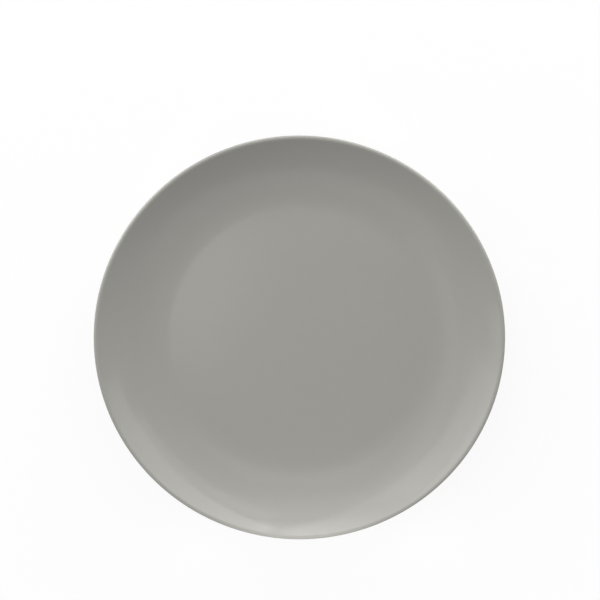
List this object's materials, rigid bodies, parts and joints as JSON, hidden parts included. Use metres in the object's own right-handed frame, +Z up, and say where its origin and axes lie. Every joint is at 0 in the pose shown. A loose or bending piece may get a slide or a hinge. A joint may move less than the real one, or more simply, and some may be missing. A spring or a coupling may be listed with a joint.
{
  "type": "melamine plate",
  "caption": "Round coupe plate in plain grey melamine with a flat well, a curved wall, a rounded lip and a foot ring, for serving food and for stacking.",
  "frame": {"origin": "middle of the foot ring, on the table it stands on", "axes": "+Z up along the plate's axis; the plate is round, so +X and +Y are free and are set to the right and to the back"},
  "size_m": [0.25, 0.25, 0.021],
  "materials": {
    "body": "satin",
    "glaze": "gloss"
  },
  "bodies": {
    "root": {"plate_body": "body", "glaze_layer": "glaze"}
  },
  "joints": []
}
